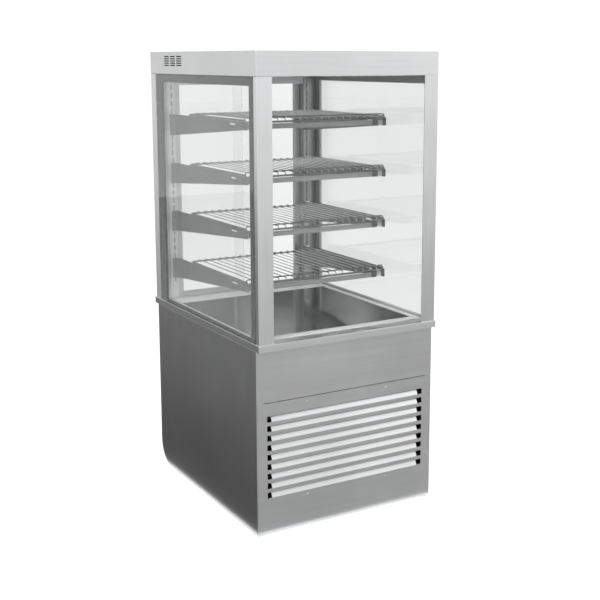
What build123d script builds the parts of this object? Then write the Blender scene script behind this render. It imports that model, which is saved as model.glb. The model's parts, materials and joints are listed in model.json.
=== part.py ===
from build123d import *
import os
from math import cos, radians, sin

# Free-standing ambient display case: a glazed showcase with four wire racks on a louvred plinth.
# Millimetres. +Z is up, the customer's side faces -Y and the sliding doors face +Y.
# The origin is on the floor, under the middle of the counter ledge.

# Overall sizes
overall_width = 600
overall_depth = 750
overall_height = 1365
floor_gap = 5             # floor to the lower edge of the plinth panels

# Clearances
seat_gap = 0.3            # between pieces that rest on or against each other
slide_gap = 1.0           # each side of a glass door in its groove
swivel_gap = 0.1          # around a kingpin
axle_gap = 0.05           # around an axle or a pivot pin
thread_gap = 0.05         # around a gland thread in its locknut

# Sheet metal and glass
frame_sheet = 1.5
front_sheet = 1.2
pane = 4                  # each pane of a double-glazed side
front_pane = 6
door_pane = 5

# Plinth
plinth_front_inset = 20
plinth_rear_inset = 24
plinth_side_inset = 1
hem_depth = 12            # front edge of a side panel, folded back on itself
landing = 21              # flange that a front or rear panel is fixed to
heel_radius = 75          # rounded lower rear corner of a side panel
upper_panel = 153.5       # ledge down to the joint between the louvred panel and the plain one
seam_gap = 1.6
panel_return = 14
upper_return = 20
pan_upstand = 36
rail_height = 30
rail_flange = 16

# Louvres in the front panel
louvre_count = 9
louvre_pitch = 28.2
louvre_margin = 34        # ledge side to the end of a slot
louvre_height = 17
louvre_relief = 15        # open cut at each end of a blade
louvre_angle = 28         # lean of a blade from upright
top_louvre_drop = 201     # underside of the ledge to the middle of the highest slot

# Counter ledge and the well in it
ledge_height = 566
ledge_thickness = 20
ledge_corner = 2
ledge_return = 35
rim_front = 48            # ledge front to the rim's front edge
rim_back = 78             # ledge rear to the rim's rear edge
well_front = 77           # ledge front to the well's front wall
well_back = 140           # ledge rear to the well's rear wall
well_side = 38            # ledge side to the well's side wall
rim_sheet = 1.2
deck_drop = 1.5           # rim to deck
deck_skirt = 14
deck_gap = 1.5            # shadow line round the deck
well_lip = 12

# Canopy
canopy_height = 68
canopy_side_inset = 2
canopy_front_inset = 5
canopy_back_inset = 8
canopy_flange = 30
canopy_corner = 2
vent_columns = 3
vent_rows = 5
vent_length = 38
vent_height = 2.6
vent_column_pitch = 47
vent_row_pitch = 6.6
vent_setback = 188        # ledge rear to the middle column
vent_centre_drop = 28     # canopy top to the middle row

# Corner posts and side glazing
glass_line_inset = 3      # ledge side to the outer face of the glass
front_post_width = 47
front_post_return = 19
front_post_core = 34
post_corner = 1
rear_post_width = 44
rear_post_depth = 52
rear_post_rebate = 15
rear_post_wall = 2
cavity = 9                # between the two panes
border_front = 30
border_rear = 41
border_top = 25
border_bottom = 7

# Slots for the shelf brackets
slot_pitch = 26
slot_width = 4
slot_height = 16
slot_inset = 34           # inner face of the glass to the line of slots
slots_below = 2           # spare slots under the lowest shelf
slots_above = 4

# Shelf brackets
shelf_count = 4
top_shelf_drop = 129      # canopy to the top edge of the highest pair of brackets
lowest_bay = 134          # least height from the ledge to the lowest pair
bracket_sheet = 2
arm_inset = 13            # line of slots to the middle plane of an arm
arm_front = 180           # ledge front to the nose of an arm
arm_nose = 20             # nose to the turned-in tab
arm_front_height = 24
arm_rear_height = 66
nose_corner = 5
tab_width = 15
tab_height = 18
tab_corner = 4
flange_width = 22
hook_drop = 18            # shelf line to the middle of the upper slot
hook_count = 2
hook_neck = 7
hook_turn = 6
adjuster_length = 36
adjuster_width = 4
adjuster_setback = 92     # nose to the middle of the oblong hole
adjuster_drop = 10

# Wire racks
rod = 3                   # radius of a frame rod
wire = 1.5                # radius of a bearer wire
stop_rod = 2              # radius of the raised front rod
wire_gaps = 19
rack_depth = 400          # front of the front rod to the back of the frame
wire_tail = 4             # wire past the middle of the rear rod
front_rod_setback = 10    # nose to the front rod
front_rod_drop = 2        # shelf line to the middle of the front rod
weld_gap = 0.1
stop_setback = 6          # front rod to the raised rod

# Ticket strip under a rack's front rod
strip_margin = 44         # middle plane of an arm to the end of a strip
strip_height = 15
strip_drop = 6.5          # shelf line to the strip's top
strip_wall = 1.2
strip_depth = 3.6
strip_lip = 2.2
cap_length = 17
cap_margin = 0.6
clip_wall = 1.4

# Rear doors
door_overlap = 25
groove_spacing = 18
track_depth = 46
top_track_height = 36
bottom_track_height = 10
groove_depth = 7
top_groove_depth = 24
door_engagement = 12      # glass inside the top groove
pull_width = 22
pull_thickness = 12
pull_pocket = 14
finger_width = 9
finger_depth = 2.5

# Light in the canopy
light_margin = 60         # ledge side to the end of the light
light_width = 30
light_height = 12
light_wall = 1.5
light_setback = 45        # canopy front to the light
light_ledge = 4           # soffit left under the light's edges
diffuser_sheet = 1.5
driver_size = (160, 42, 28)
driver_place = (-60, 240)
driver_ear = 12
driver_foot = 3

# Rocker switch in the rear of the canopy
switch_x = 200
switch_drop = 34          # canopy top to the switch
switch_width = 22
switch_length = 30
switch_flange = 2
switch_lip = 2
switch_depth = 22
pocket_width = 16.6
pocket_length = 25.2
pocket_depth = 9
rocker_half_length = 11
rocker_crown = 6.2
rocker_wing = 8
rocker_tilt = 10
pivot_radius = 1.5
pivot_depth = 5
pivot_length = 1.2

# Castors
castor_side = 62          # ledge side to a kingpin
castor_front = 90         # ledge front to the front kingpins
castor_rear = 140         # ledge rear to the rear ones
castor_height = 74
wheel_radius = 25
wheel_width = 20
wheel_edge = 3
castor_trail = 24
castor_plate = 60
castor_plate_sheet = 3
race_radius = 22
race_height = 5
kingpin_radius = 6
kingpin_head = 10
kingpin_head_height = 4
fork_sheet = 2.5
fork_crown = 36           # side of the square crown
fork_gap = 1              # wheel to fork leg
axle_radius = 4
axle_boss = 8
axle_head = 6.5
axle_head_height = 3

# Mains cable gland
gland_x = -180
gland_z = 140
gland_bore = 4.5
gland_thread = 8
gland_hole_gap = 0.1      # around the thread in the rear panel
gland_hex = 11
gland_hex_height = 5
gland_dome = 9.5
gland_dome_height = 12
gland_inside = 9
locknut_height = 4

# Derived heights and planes
half_width = overall_width / 2
front_edge = -overall_depth / 2
rear_edge = overall_depth / 2
ledge_under = ledge_height - ledge_thickness
canopy_under = overall_height - canopy_height
seam_height = ledge_under - upper_panel
top_louvre_height = ledge_under - top_louvre_drop
louvre_length = overall_width - 2 * louvre_margin
well_half_width = half_width - well_side
light_length = overall_width - 2 * light_margin
glazing = (ledge_height + seat_gap, canopy_under - seat_gap)
canopy_front = front_edge + canopy_front_inset
canopy_back = rear_edge - canopy_back_inset
canopy_half = half_width - canopy_side_inset
plinth_front = front_edge + plinth_front_inset
plinth_back = rear_edge - plinth_rear_inset
plinth_half = half_width - plinth_side_inset
plinth_inner = plinth_half - frame_sheet
hem_inner = plinth_inner - frame_sheet
landing_edge = plinth_inner - landing
landing_front = plinth_front + front_sheet + seat_gap
landing_rear = plinth_back - frame_sheet - seat_gap
plinth_top = ledge_under - seat_gap
behind_landing = landing_front + frame_sheet + seat_gap
glass_outer = half_width - glass_line_inset
glass_inner = glass_outer - 2 * pane - cavity
unit_front = canopy_front + front_post_return + seat_gap
rear_post_front = canopy_back - rear_post_depth
rear_post_inner = glass_inner - rear_post_width
unit_rear = rear_post_front + rear_post_rebate - seat_gap
slot_x = glass_inner - slot_inset
top_shelf = canopy_under - top_shelf_drop
shelf_room = top_shelf - ledge_height - lowest_bay
slots_per_shelf = int(shelf_room / (shelf_count - 1) / slot_pitch)
shelf_lines = [top_shelf - i * slots_per_shelf * slot_pitch for i in range(shelf_count)]
arm_half_spacing = slot_x - arm_inset
strip_half_length = arm_half_spacing - strip_margin
nose_y = front_edge + arm_front
tab_y = nose_y + arm_nose
front_rod_y = nose_y + front_rod_setback
rack_rear_y = front_rod_y - rod + rack_depth - rod
arm_inner = arm_half_spacing - bracket_sheet / 2
arm_outer = arm_half_spacing + bracket_sheet / 2
track_half = rear_post_inner - seat_gap
track_middle = (rear_post_front + canopy_back) / 2
groove_lines = [track_middle + side * groove_spacing / 2 for side in (-1, 1)]
door_floor = glazing[0] + bottom_track_height - groove_depth + seat_gap
door_head = glazing[1] - top_track_height + door_engagement
light_front = canopy_front + light_setback
soffit_top = canopy_under + frame_sheet + seat_gap + front_sheet
switch_z = overall_height - switch_drop
axle_length = wheel_width + 2 * (fork_gap + fork_sheet)
race_under = castor_height - castor_plate_sheet - race_height
fork_top = race_under - seat_gap


def span(x, y, z):
    """A block between two values of x, of y and of z."""
    size = [high - low for low, high in (x, y, z)]
    return Pos((x[0] + x[1]) / 2, (y[0] + y[1]) / 2, (z[0] + z[1]) / 2) * Box(*size)


def both(value):
    """The same distance to each side of the middle."""
    return (-value, value)


def along_x(outline, x):
    """A (y, z) face or list of points carried from the first x to the second."""
    if isinstance(outline, list):
        outline = make_face(Polyline(*outline, close=True))
    return Pos(x[0], 0, 0) * extrude(Plane.YZ * outline, x[1] - x[0])


def along_z(outline, z):
    """An (x, y) face or list of points carried from the first z to the second."""
    if isinstance(outline, list):
        outline = make_face(Polyline(*outline, close=True))
    return Pos(0, 0, z[0]) * extrude(outline, z[1] - z[0])


def pin(x, y, z, radius, length, axis="Y"):
    """A round pin centred on a point, along X, Y or Z."""
    turn = {"X": Rot(0, 90, 0), "Y": Rot(90, 0, 0), "Z": Rot(0, 0, 0)}[axis]
    return Pos(x, y, z) * turn * Cylinder(radius, length)


def left_hand(part):
    """The mirror image across the middle of the case."""
    return mirror(part, about=Plane.YZ)


# Plinth

def side_panel():
    """Right side panel: outer skin, hemmed front edge and the landings for the end panels."""
    outline = [
        (plinth_half, plinth_front), (plinth_half, plinth_back), (plinth_inner, plinth_back),
        (plinth_inner, landing_rear), (landing_edge, landing_rear),
        (landing_edge, landing_rear - frame_sheet), (plinth_inner, landing_rear - frame_sheet),
        (plinth_inner, plinth_front + hem_depth), (hem_inner, plinth_front + hem_depth),
        (hem_inner, landing_front + frame_sheet), (landing_edge, landing_front + frame_sheet),
        (landing_edge, landing_front), (hem_inner, landing_front), (hem_inner, plinth_front),
    ]
    panel = along_z(outline, (floor_gap, plinth_top))
    heel_y, heel_z = plinth_back - heel_radius, floor_gap + heel_radius
    corner = span((plinth_inner - 1, plinth_half + 1), (heel_y, plinth_back + 1), (floor_gap - 1, heel_z))
    corner -= pin(plinth_inner, heel_y, heel_z, heel_radius, 4 * frame_sheet, "X")
    panel -= corner
    panel -= span((landing_edge - 1, plinth_inner), (landing_rear - 2 * frame_sheet, landing_rear),
                  (floor_gap - 1, heel_z + seat_gap))
    panel -= span((hem_inner - 1, plinth_half + 1), (plinth_front - 1, landing_front),
                  (seam_height, plinth_top + 1))
    panel += span((landing_edge, plinth_inner), (landing_front, landing_rear),
                  (plinth_top - frame_sheet, plinth_top))
    return panel


def louvre_blade(middle):
    """One tongue bent inwards from the lower edge of its slot."""
    lower = middle - louvre_height / 2
    reach = louvre_height * sin(radians(louvre_angle))
    rise = louvre_height * cos(radians(louvre_angle))
    skew = front_sheet * sin(radians(louvre_angle))
    outline = [
        (plinth_front, lower - front_sheet), (plinth_front, lower),
        (plinth_front + reach, lower + rise), (plinth_front + reach + skew, lower + rise - skew),
        (plinth_front + front_sheet, lower - front_sheet),
    ]
    return along_x(outline, both(louvre_length / 2 - louvre_relief))


def louvred_front_panel():
    """Lower front panel with its louvres and its returned top and bottom edges."""
    low, high = floor_gap, seam_height - seam_gap / 2
    back = plinth_front + front_sheet
    panel = span(both(hem_inner - seat_gap), (plinth_front, back), (low, high))
    middles = [top_louvre_height - i * louvre_pitch for i in range(louvre_count)]
    for middle in middles:
        panel -= span(both(louvre_length / 2), (plinth_front - 1, back + 1),
                      (middle - louvre_height / 2, middle + louvre_height / 2))
    for middle in middles:
        panel += louvre_blade(middle)
    inner = both(landing_edge - seat_gap)
    for z in ((low, low + front_sheet), (high - front_sheet, high)):
        panel += span(inner, (plinth_front, plinth_front + panel_return), z)
    return panel


def upper_front_panel():
    """Plain panel between the louvred panel and the ledge, across the ends of the side panels."""
    low, high = seam_height + seam_gap / 2, plinth_top
    panel = span(both(plinth_half), (plinth_front, plinth_front + front_sheet), (low, high))
    inner = both(landing_edge - seat_gap)
    for z in ((low, low + front_sheet), (high - front_sheet, high)):
        panel += span(inner, (plinth_front, plinth_front + upper_return), z)
    return panel


def front_cross_rail():
    """Angle behind the seam that ties the side panels together."""
    high = seam_height - seam_gap / 2 - front_sheet - seat_gap
    low = high - rail_height
    back = behind_landing + frame_sheet
    rail = span(both(hem_inner - seat_gap), (behind_landing, back), (low, high))
    rail += span(both(landing_edge - seat_gap), (behind_landing, back + rail_flange),
                 (low, low + frame_sheet))
    return rail


def base_pan():
    """Tray that closes the bottom of the plinth and carries the castors."""
    x = hem_inner - seat_gap
    y = (behind_landing, landing_rear - frame_sheet - seat_gap)
    z = (castor_height, castor_height + pan_upstand)
    pan = span(both(x), y, z)
    pan -= span(both(x - frame_sheet), (y[0] + frame_sheet, y[1] - frame_sheet),
                (z[0] + frame_sheet, z[1] + 1))
    return pan


def rear_access_panel():
    """Flat removable panel across the back of the plinth."""
    low, high = floor_gap + heel_radius + 1, plinth_top
    panel = span(both(plinth_inner - seat_gap), (plinth_back - frame_sheet, plinth_back), (low, high))
    panel += span(both(landing_edge - seat_gap), (plinth_back - panel_return, plinth_back),
                  (high - frame_sheet, high))
    panel -= pin(gland_x, plinth_back, gland_z, gland_thread + gland_hole_gap, 4 * frame_sheet)
    return panel


# Mains cable gland

def mains_cable_gland():
    """Gland body with its dome outside the rear panel, and the locknut inside."""
    outside = plinth_back
    inside = plinth_back - frame_sheet
    flange = Plane.XZ.offset(-outside) * Pos(gland_x, gland_z) * RegularPolygon(gland_hex, 6)
    body = extrude(flange, -gland_hex_height)
    dome_y = outside + gland_hex_height + gland_dome_height / 2
    dome = pin(gland_x, dome_y, gland_z, gland_dome, gland_dome_height)
    dome = chamfer(dome.faces().sort_by(Axis.Y)[-1].edges(), gland_dome / 4)
    thread_length = frame_sheet + gland_inside
    body += dome + pin(gland_x, outside - thread_length / 2, gland_z, gland_thread, thread_length)
    body -= pin(gland_x, outside, gland_z, gland_bore, 80)
    nut_face = Plane.XZ.offset(-(inside - locknut_height)) * Pos(gland_x, gland_z)
    nut = extrude(nut_face * RegularPolygon(gland_hex, 6), -locknut_height)
    nut -= pin(gland_x, inside, gland_z, gland_thread + thread_gap, 4 * locknut_height)
    return Compound([body, nut])


# Castors

def castor_places():
    """Where the four kingpins stand."""
    lines = (front_edge + castor_front, rear_edge - castor_rear)
    return [(x, y) for y in lines for x in both(half_width - castor_side)]


def castor_plates():
    """Top plates with their ball races and headed kingpins."""
    plates = []
    under_plate = castor_height - castor_plate_sheet
    head_top = fork_top - fork_sheet - seat_gap
    head_low = head_top - kingpin_head_height
    for x, y in castor_places():
        half = castor_plate / 2
        plate = span((x - half, x + half), (y - half, y + half), (under_plate, castor_height))
        plate += pin(x, y, under_plate - race_height / 2, race_radius, race_height, "Z")
        plate += pin(x, y, (under_plate + head_low) / 2, kingpin_radius, under_plate - head_low, "Z")
        plate += along_z(Pos(x, y) * RegularPolygon(kingpin_head, 6), (head_low, head_top))
        plates.append(plate)
    return Compound(plates)


def castor_fork(x, y):
    """Swivelling fork, trailing to the front, with the axle bolt through its legs."""
    axle_y = -castor_trail
    half = fork_crown / 2
    leg_top = fork_top - fork_sheet / 2
    crown = Line((-half, leg_top), (half, leg_top))
    boss = Pos(axle_y, wheel_radius) * Circle(axle_boss)
    fork = span(both(half), both(half), (fork_top - fork_sheet, fork_top))
    side = make_face(make_hull(crown.edges() + boss.edges()))
    inner = wheel_width / 2 + fork_gap
    for start in (-inner - fork_sheet, inner):
        fork += along_x(side, (start, start + fork_sheet))
    fork -= pin(0, 0, fork_top, kingpin_radius + swivel_gap, 20, "Z")
    fork += pin(0, axle_y, wheel_radius, axle_radius, axle_length, "X")
    head = Pos(axle_y, wheel_radius) * RegularPolygon(axle_head, 6)
    for start in (-axle_length / 2 - axle_head_height, axle_length / 2):
        fork += along_x(head, (start, start + axle_head_height))
    return Pos(x, y, 0) * fork


def castor_wheel(x, y):
    """Solid wheel with a bevelled tread and a plain bore."""
    wheel = pin(0, 0, 0, wheel_radius, wheel_width, "X")
    wheel = chamfer(wheel.edges().filter_by(GeomType.CIRCLE), wheel_edge)
    wheel -= pin(0, 0, 0, axle_radius + axle_gap, 2 * wheel_width, "X")
    return Pos(x, y - castor_trail, wheel_radius) * wheel


# Ledge, well and deck

def softened_box(x, y, z, corner):
    """A block with rounded upright corners."""
    body = span(x, y, z)
    return fillet(body.edges().filter_by(Axis.Z), corner)


def counter_ledge():
    """Folded ledge that overhangs the plinth, open under the well."""
    x, y, z = both(half_width), (front_edge, rear_edge), (ledge_under, ledge_height)
    ledge = softened_box(x, y, z, ledge_corner)
    ledge -= span(both(half_width - frame_sheet), (y[0] + frame_sheet, y[1] - frame_sheet),
                  (z[0] + frame_sheet, z[1] - frame_sheet))
    ledge -= span(both(half_width - ledge_return), (y[0] + ledge_return, y[1] - ledge_return),
                  (z[0] - 1, z[0] + 2 * frame_sheet))
    wall = rim_sheet + seat_gap
    ledge -= span(both(well_half_width + wall),
                  (front_edge + well_front - wall, rear_edge - well_back + wall),
                  (z[1] - 2 * frame_sheet, z[1] + 1))
    return ledge


def well_frame():
    """Rim lying on the ledge, with the walls and the inner lip that hold the deck."""
    top = ledge_height + seat_gap + rim_sheet
    lip_top = top - deck_drop - deck_skirt - seat_gap
    rim = span(both(glass_inner - seat_gap), (front_edge + rim_front, rear_edge - rim_back),
               (top - rim_sheet, top))
    inner_y = (front_edge + well_front, rear_edge - well_back)
    rim += span(both(well_half_width + rim_sheet), (inner_y[0] - rim_sheet, inner_y[1] + rim_sheet),
                (lip_top - rim_sheet, top))
    rim -= span(both(well_half_width), inner_y, (lip_top, top + 1))
    rim -= span(both(well_half_width - well_lip), (inner_y[0] + well_lip, inner_y[1] - well_lip),
                (lip_top - 2 * rim_sheet, top))
    return rim


def deck_tray():
    """Deck with turned-down edges, lying in the well."""
    top = ledge_height + seat_gap + rim_sheet - deck_drop
    half = well_half_width - deck_gap
    y = (front_edge + well_front + deck_gap, rear_edge - well_back - deck_gap)
    deck = softened_box(both(half), y, (top - deck_skirt, top), ledge_corner)
    deck -= span(both(half - rim_sheet), (y[0] + rim_sheet, y[1] - rim_sheet),
                 (top - deck_skirt - 1, top - rim_sheet))
    return deck


# Posts and glazing

def front_post():
    """Right front post: a square tube whose face runs on over the edge of the glass."""
    outer, face = glass_outer, canopy_front
    back = canopy_front + front_post_return
    core = outer - front_post_core
    outline = make_face(Polyline(
        (outer - front_post_width, face), (outer, face), (outer, back), (core, back),
        (core, face + frame_sheet), (outer - front_post_width, face + frame_sheet), close=True))
    outline = fillet(outline.vertices().group_by(Axis.X)[-1], post_corner)
    hollow = make_face(Polyline(
        (core + frame_sheet, face + frame_sheet), (outer - frame_sheet, face + frame_sheet),
        (outer - frame_sheet, back - frame_sheet), (core + frame_sheet, back - frame_sheet), close=True))
    return along_z(outline - hollow, glazing)


def front_glass():
    """Single front pane, held at its edges behind the faces of the posts."""
    face = canopy_front + frame_sheet + seat_gap
    return span(both(glass_outer - front_post_core - seat_gap), (face, face + front_pane), glazing)


def side_pane(outer):
    """One upright pane of a side unit, by the x of its outer face."""
    return span((outer - pane, outer), (unit_front, unit_rear), glazing)


def side_border():
    """Dark spacer frame between the panes of a side unit."""
    x = (glass_inner + pane, glass_outer - pane)
    border = span(x, (unit_front, unit_rear), glazing)
    border -= span((x[0] - 1, x[1] + 1), (unit_front + border_front, unit_rear - border_rear),
                   (glazing[0] + border_bottom, glazing[1] - border_top))
    return border


def slot_heights():
    """Middles of the bracket slots, so that every shelf line falls on one."""
    lowest = shelf_lines[-1] - hook_drop - slots_below * slot_pitch
    count = slots_below + (shelf_count - 1) * slots_per_shelf + 1 + slots_above
    return [lowest + i * slot_pitch for i in range(count)]


def rear_post():
    """Right rear post: hollow, rebated for the side unit and slotted for the brackets."""
    rebate = rear_post_front + rear_post_rebate
    outline = make_face(Polyline(
        (rear_post_inner, rear_post_front), (glass_inner, rear_post_front), (glass_inner, rebate),
        (glass_outer, rebate), (glass_outer, canopy_back), (rear_post_inner, canopy_back), close=True))
    hollow = offset(outline, -rear_post_wall)
    post = along_z(outline - hollow, glazing)
    for z in slot_heights():
        post -= span((slot_x - slot_width / 2, slot_x + slot_width / 2),
                     (rear_post_front - 1, rear_post_front + rear_post_wall + 1),
                     (z - slot_height / 2, z + slot_height / 2))
    return post


# Shelf brackets

def shelf_bracket():
    """Right bracket at shelf line zero: tapering arm, slotted-in hooks and a turned-in front tab."""
    rear = rear_post_front - seat_gap
    outline = [
        (nose_y, 0), (rear, 0), (rear, -arm_rear_height), (tab_y, -arm_front_height),
        (nose_y + nose_corner, -arm_front_height), (nose_y, nose_corner - arm_front_height),
    ]
    arm = along_x(outline, (arm_inner, arm_outer))
    seat = rod + seat_gap
    arm -= pin(arm_half_spacing, front_rod_y, -front_rod_drop, seat, 4 * bracket_sheet, "X")
    arm -= span((arm_inner - 1, arm_outer + 1), (front_rod_y - seat, front_rod_y + seat),
                (-front_rod_drop, 1))
    adjuster = Pos(nose_y + adjuster_setback, -adjuster_drop) * SlotOverall(adjuster_length, adjuster_width)
    arm -= along_x(adjuster, (arm_inner - 1, arm_outer + 1))
    tab_top = -front_rod_drop - rod - seat_gap - 1
    tab_low = tab_top - tab_height
    tab = make_face(Polyline(
        (arm_inner, tab_top), (arm_inner - tab_width, tab_top), (arm_inner - tab_width, tab_low + tab_corner),
        (arm_inner - tab_width + tab_corner, tab_low), (arm_inner, tab_low), close=True))
    arm += extrude(Plane.XZ.offset(-tab_y) * tab, -bracket_sheet)
    arm += span((arm_inner, arm_inner + flange_width), (rear - bracket_sheet, rear), (-arm_rear_height, 0))
    hook_x = (slot_x - bracket_sheet / 2, slot_x + bracket_sheet / 2)
    behind = rear_post_front + rear_post_wall + seat_gap
    for i in range(hook_count):
        sill = -hook_drop - slot_height / 2 - i * slot_pitch + seat_gap
        hook = [
            (rear - bracket_sheet, sill), (rear - bracket_sheet, sill + hook_neck),
            (behind + bracket_sheet, sill + hook_neck), (behind + bracket_sheet, sill - hook_turn),
            (behind, sill - hook_turn), (behind, sill),
        ]
        arm += along_x(hook, hook_x)
    return arm


def bracket_set(bracket):
    """One bracket for every shelf line."""
    return Compound([Pos(0, 0, line) * bracket for line in shelf_lines])


# Wire racks

def bent_wire(points, section):
    """A wire of a given section along straight runs with mitred corners."""
    path = Polyline(*points)
    face = Plane(origin=path @ 0, z_dir=path % 0) * section
    return sweep(face, path=path, transition=Transition.RIGHT)


def wire_rack():
    """Rack at shelf line zero: bent frame, front rod, raised stop rod and the bearer wires."""
    x = arm_half_spacing
    frame_z = seat_gap + rod
    butt = front_rod_y + rod - weld_gap
    frame = bent_wire([(-x, butt, frame_z), (-x, rack_rear_y, frame_z), (x, rack_rear_y, frame_z),
                       (x, butt, frame_z)], Circle(rod))
    front = pin(0, front_rod_y, -front_rod_drop, rod, 2 * (x + rod), "X")
    wire_z = frame_z + rod + weld_gap + wire
    foot = -front_rod_drop + rod + weld_gap
    pieces = [frame, front]
    pitch = 2 * x / wire_gaps
    for i in range(1, wire_gaps):
        place = -x + i * pitch
        pieces.append(bent_wire([(place, rack_rear_y + wire_tail, wire_z), (place, front_rod_y, wire_z),
                                 (place, front_rod_y, foot)], RegularPolygon(wire, 6)))
    stop_y = front_rod_y + stop_setback
    stop_z = wire_z + wire + weld_gap + stop_rod
    stop_foot = frame_z + rod + weld_gap
    pieces.append(bent_wire([(-x, stop_y, stop_foot), (-x, stop_y, stop_z), (x, stop_y, stop_z),
                             (x, stop_y, stop_foot)], RegularPolygon(stop_rod, 6)))
    return pieces


def at_line(pieces, line):
    """Pieces made at shelf line zero, lifted to a real one."""
    return Compound([Pos(0, 0, line) * piece for piece in pieces])


def ticket_strip():
    """Channel that holds the price tickets, open to the front between two lips."""
    top, low = -strip_drop, -strip_drop - strip_height
    back = front_rod_y - 1
    face = back - strip_depth
    outline = [
        (back, low), (back, top), (face, top), (face, top - strip_lip), (face + strip_wall, top - strip_lip),
        (face + strip_wall, top - strip_wall), (back - strip_wall, top - strip_wall),
        (back - strip_wall, low + strip_wall), (face + strip_wall, low + strip_wall),
        (face + strip_wall, low + strip_lip), (face, low + strip_lip), (face, low),
    ]
    return along_x(outline, both(strip_half_length))


def strip_cap():
    """Dark end piece of a ticket strip, with the clip that grips the front rod."""
    x = (strip_half_length, strip_half_length + cap_length)
    top, low = -strip_drop, -strip_drop - strip_height
    back = front_rod_y - 1
    face = back - strip_depth - cap_margin
    cap = span(x, (face, back + cap_margin), (low - cap_margin, top))
    grip = rod + weld_gap + clip_wall
    cap += span(x, (front_rod_y - rod / 2, front_rod_y + grip),
                (-front_rod_drop - grip, -front_rod_drop + rod / 2))
    cap -= pin((x[0] + x[1]) / 2, front_rod_y, -front_rod_drop, rod + weld_gap, 2 * cap_length, "X")
    return cap


# Rear doors

def grooved(track, z):
    """Cuts the two door grooves into a track."""
    half = door_pane / 2 + slide_gap
    for line in groove_lines:
        track -= span(both(track_half + 1), (line - half, line + half), z)
    return track


def track_block(z):
    """The outer block of a track between the rear posts."""
    return span(both(track_half), (track_middle - track_depth / 2, track_middle + track_depth / 2), z)


def top_track():
    """Upper door track, deep enough to lift the doors out."""
    low = glazing[1] - top_track_height
    return grooved(track_block((low, glazing[1])), (low - 1, low + top_groove_depth))


def bottom_track():
    """Lower door track on the ledge."""
    high = glazing[0] + bottom_track_height
    return grooved(track_block((glazing[0], high)), (high - groove_depth, high + 1))


def door_glass(side):
    """One sliding pane. The left one runs in the inner groove."""
    line = groove_lines[0] if side < 0 else groove_lines[1]
    outer = track_half - 2 * seat_gap - pull_width + pull_pocket
    x = sorted((side * outer, -side * door_overlap / 2))
    return span(x, (line - door_pane / 2, line + door_pane / 2), (door_floor, door_head))


def door_pull(side):
    """Full-height edge pull gripping a door's outer edge, with a finger groove."""
    line = groove_lines[0] if side < 0 else groove_lines[1]
    outer = track_half - seat_gap
    low = glazing[0] + bottom_track_height + seat_gap
    high = glazing[1] - top_track_height - seat_gap
    half = pull_thickness / 2
    pull = span((outer - pull_width, outer), (line - half, line + half), (low, high))
    pull = fillet(pull.edges().filter_by(Axis.Z), post_corner)
    pocket = (outer - pull_width - 1, outer - pull_width + pull_pocket)
    pull -= span(pocket, (line - door_pane / 2 - axle_gap, line + door_pane / 2 + axle_gap),
                 (low - 1, high + 1))
    finger = outer - pull_width / 2
    pull -= span((finger - finger_width / 2, finger + finger_width / 2),
                 (line + half - finger_depth, line + half + 1), (low + finger_width, high - finger_width))
    if side < 0:
        return left_hand(pull)
    return pull


# Canopy

def canopy_shell():
    """Folded canopy with vents in both sides, a switch opening and turned-in lower flanges."""
    x, y = both(canopy_half), (canopy_front, canopy_back)
    z = (canopy_under, overall_height)
    shell = softened_box(x, y, z, canopy_corner)
    shell -= span(both(canopy_half - frame_sheet), (y[0] + frame_sheet, y[1] - frame_sheet),
                  (z[0] + frame_sheet, z[1] - frame_sheet))
    shell -= span(both(canopy_half - canopy_flange), (y[0] + canopy_flange, y[1] - canopy_flange),
                  (z[0] - 1, z[0] + 2 * frame_sheet))
    for column in range(vent_columns):
        middle_y = rear_edge - vent_setback + (column - (vent_columns - 1) / 2) * vent_column_pitch
        for row in range(vent_rows):
            middle_z = z[1] - vent_centre_drop + (row - (vent_rows - 1) / 2) * vent_row_pitch
            shell -= span(both(canopy_half + 1), (middle_y - vent_length / 2, middle_y + vent_length / 2),
                          (middle_z - vent_height / 2, middle_z + vent_height / 2))
    half_x, half_z = switch_width / 2 + seat_gap, switch_length / 2 + seat_gap
    shell -= span((switch_x - half_x, switch_x + half_x), (y[1] - 2 * frame_sheet, y[1] + 1),
                  (switch_z - half_z, switch_z + half_z))
    return shell


def canopy_soffit():
    """Plate on the canopy's flanges, cut out for the light."""
    inner = canopy_half - frame_sheet - seat_gap
    y = (canopy_front + frame_sheet + seat_gap, canopy_back - frame_sheet - seat_gap)
    soffit = span(both(inner), y, (soffit_top - front_sheet, soffit_top))
    soffit -= span(both(light_length / 2 - light_ledge),
                   (light_front + light_ledge, light_front + light_width - light_ledge),
                   (soffit_top - 2 * front_sheet, soffit_top + 1))
    return soffit


def light_body():
    """Channel over the opening in the soffit, with the lit board under its roof."""
    z = (soffit_top + seat_gap, soffit_top + seat_gap + light_height)
    y = (light_front, light_front + light_width)
    body = span(both(light_length / 2), y, z)
    body -= span(both(light_length / 2 - light_wall), (y[0] + light_wall, y[1] - light_wall),
                 (z[0] - 1, z[1] - light_wall))
    middle = (y[0] + y[1]) / 2
    board = span(both(light_length / 2 - 4 * light_wall),
                 (middle - light_width / 4, middle + light_width / 4),
                 (z[1] - 2 * light_wall, z[1] - light_wall))
    return body + board


def light_diffuser():
    """Clear strip lying in the mouth of the light."""
    edge = light_wall + seat_gap
    low = soffit_top + seat_gap
    return span(both(light_length / 2 - edge), (light_front + edge, light_front + light_width - edge),
                (low, low + diffuser_sheet))


def led_driver():
    """Power supply on the soffit, with a foot at each end."""
    (length, width, height), (x, y) = driver_size, driver_place
    low = soffit_top + seat_gap
    case = span((x - length / 2, x + length / 2), (y - width / 2, y + width / 2), (low, low + height))
    foot_x = (x - length / 2 - driver_ear, x + length / 2 + driver_ear)
    return case + span(foot_x, (y - width / 4, y + width / 4), (low, low + driver_foot))


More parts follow.
